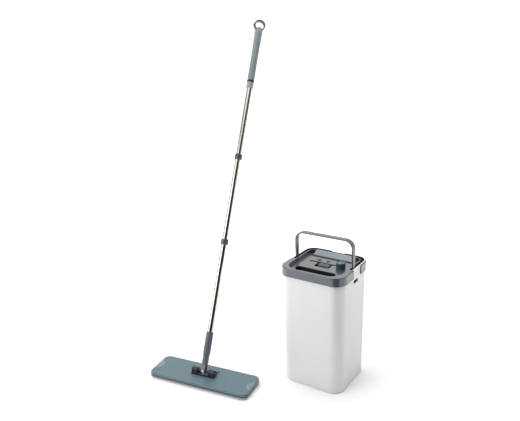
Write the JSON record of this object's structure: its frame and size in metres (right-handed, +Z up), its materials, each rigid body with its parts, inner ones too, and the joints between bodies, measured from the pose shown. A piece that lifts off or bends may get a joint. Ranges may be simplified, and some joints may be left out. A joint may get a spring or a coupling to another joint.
{
  "type": "flat mop and bucket set",
  "caption": "Flat mop with a jointed steel pole and a rectangular pad, standing beside a tall bucket with a lift-out washing and wringing insert and a folding bail.",
  "frame": {"origin": "centre of the set's bounding box, on the floor", "axes": "+X along the bucket's width, -Y towards the bucket's front, +Z up"},
  "size_m": [0.5947, 0.6484, 1.1025],
  "materials": {
    "white_shell": "satin white moulding",
    "insert_grey": "blue-grey moulding",
    "panel_grey": "lighter blue-grey moulding",
    "channel_navy": "near-black blue",
    "bail_grey": "blue-grey moulding",
    "knob_teal": "dark teal-grey moulding",
    "block_stone": "stone grey rubber",
    "blade_rubber": "black rubber",
    "inner_white": "natural white moulding",
    "steel_tube": "polished stainless tube",
    "pin_steel": "zinc-plated steel",
    "plate_grey": "blue-grey moulding, fine texture",
    "base_navy": "dark blue moulding",
    "bracket_navy": "dark navy moulding",
    "pad_white": "white-grey microfibre pile",
    "flap_grey": "soft blue-grey rubber",
    "neck_grey": "warm grey moulding",
    "sleeve_grey": "blue-grey moulding",
    "collar_teal": "dark teal-grey moulding",
    "ferrule_grey": "silver-grey moulding",
    "grip_grey": "light blue-grey soft grip",
    "cap_grey": "light grey moulding",
    "loop_dark": "dark grey moulding"
  },
  "bodies": {
    "bucket": {"bucket_shell": "white_shell", "divider_wall": "inner_white", "rear_band": "insert_grey", "rubber_feet": "blade_rubber"},
    "insert": {"insert_tray": "insert_grey", "rear_panel": "panel_grey", "bail_channel": "channel_navy", "bail_pins": "pin_steel", "front_scrub_strip": "block_stone", "rear_scrub_strip": "block_stone", "left_bracket": "insert_grey", "right_bracket": "insert_grey", "bracket_screws": "pin_steel", "roller_axle": "pin_steel"},
    "bail": {"bail": "bail_grey"},
    "knob": {"knob": "knob_teal", "knob_shaft": "insert_grey", "cam": "inner_white"},
    "scraper": {"scraper_bar": "insert_grey", "press_block": "block_stone", "wiper_blade": "blade_rubber"},
    "roller": {"roller_core": "inner_white", "roller_sleeve": "block_stone"},
    "left_latch": {"left_latch": "channel_navy"},
    "right_latch": {"right_latch": "channel_navy"},
    "mop_head": {"mop_pad": "pad_white", "base_plate": "base_navy", "top_plate": "plate_grey", "end_flaps": "flap_grey", "hinge_bracket": "bracket_navy", "head_screws": "pin_steel", "tilt_pins": "pin_steel"},
    "joint_cross": {"joint_cross": "bracket_navy"},
    "pole": {"pole_fork": "neck_grey", "fork_pins": "pin_steel", "pole_sleeve": "sleeve_grey", "lower_tube": "steel_tube", "middle_tube": "steel_tube", "upper_tube": "steel_tube", "lower_collar": "collar_teal", "upper_collar": "collar_teal", "lower_plug": "inner_white", "upper_plug": "inner_white", "ferrule": "ferrule_grey", "grip_ring": "channel_navy", "grip": "grip_grey", "grip_cap": "cap_grey"},
    "snap_button": {"snap_button": "channel_navy"},
    "hang_loop": {"hang_loop": "loop_dark", "loop_socket": "cap_grey"}
  },
  "joints": [
    {"name": "insert_lift", "type": "slide", "parent": "bucket", "child": "insert", "axis": [0, 0, 1], "range_m": [0, 0.12]},
    {"name": "bail_fold", "type": "hinge", "parent": "insert", "child": "bail", "pos_m": [0.18948, -0.00737, 0.379], "axis": [1, 0, 0], "range_deg": [-90, 45]},
    {"name": "knob_turn", "type": "hinge", "parent": "insert", "child": "knob", "pos_m": [0.24148, -0.00237, 0.3745], "axis": [0, 0, 1], "range_deg": [0, 90]},
    {"name": "scraper_press", "type": "slide", "parent": "insert", "child": "scraper", "axis": [0, 1, 0], "range_m": [0, 0.0025]},
    {"name": "roller_spin", "type": "hinge", "parent": "insert", "child": "roller", "pos_m": [0.18948, 0.06013, 0.354], "axis": [1, 0, 0], "continuous": true},
    {"name": "left_latch_press", "type": "slide", "parent": "insert", "child": "left_latch", "axis": [1, 0, 0], "range_m": [0, 0.0025], "stiffness_N_per_m": 1200},
    {"name": "right_latch_press", "type": "slide", "parent": "insert", "child": "right_latch", "axis": [-1, 0, 0], "range_m": [0, 0.0025], "stiffness_N_per_m": 1200},
    {"name": "mop_lift", "type": "slide", "parent": "bucket", "child": "mop_head", "axis": [0, 0, 1], "range_m": [0, 0.45]},
    {"name": "head_tilt", "type": "hinge", "parent": "mop_head", "child": "joint_cross", "pos_m": [-0.11842, -0.24217, 0.031], "axis": [0.9871, 0.1599, 0], "range_deg": [-47, 103]},
    {"name": "side_tilt", "type": "hinge", "parent": "joint_cross", "child": "pole", "pos_m": [-0.11842, -0.24217, 0.031], "axis": [-0.1412, 0.8716, -0.4695], "range_deg": [-31.75, 13.25]},
    {"name": "snap_button_press", "type": "slide", "parent": "pole", "child": "snap_button", "axis": [-0.6418, 0.6491, -0.4083], "range_m": [0, 0.0014], "stiffness_N_per_m": 800},
    {"name": "loop_turn", "type": "hinge", "parent": "pole", "child": "hang_loop", "pos_m": [-0.23044, 0.29124, 1.05497], "axis": [-0.0966, 0.4598, 0.8827], "continuous": true}
  ],
  "couplings": [
    {"joint": "scraper_press", "follows": "knob_turn", "m_per_rad": 0.0015915}
  ]
}
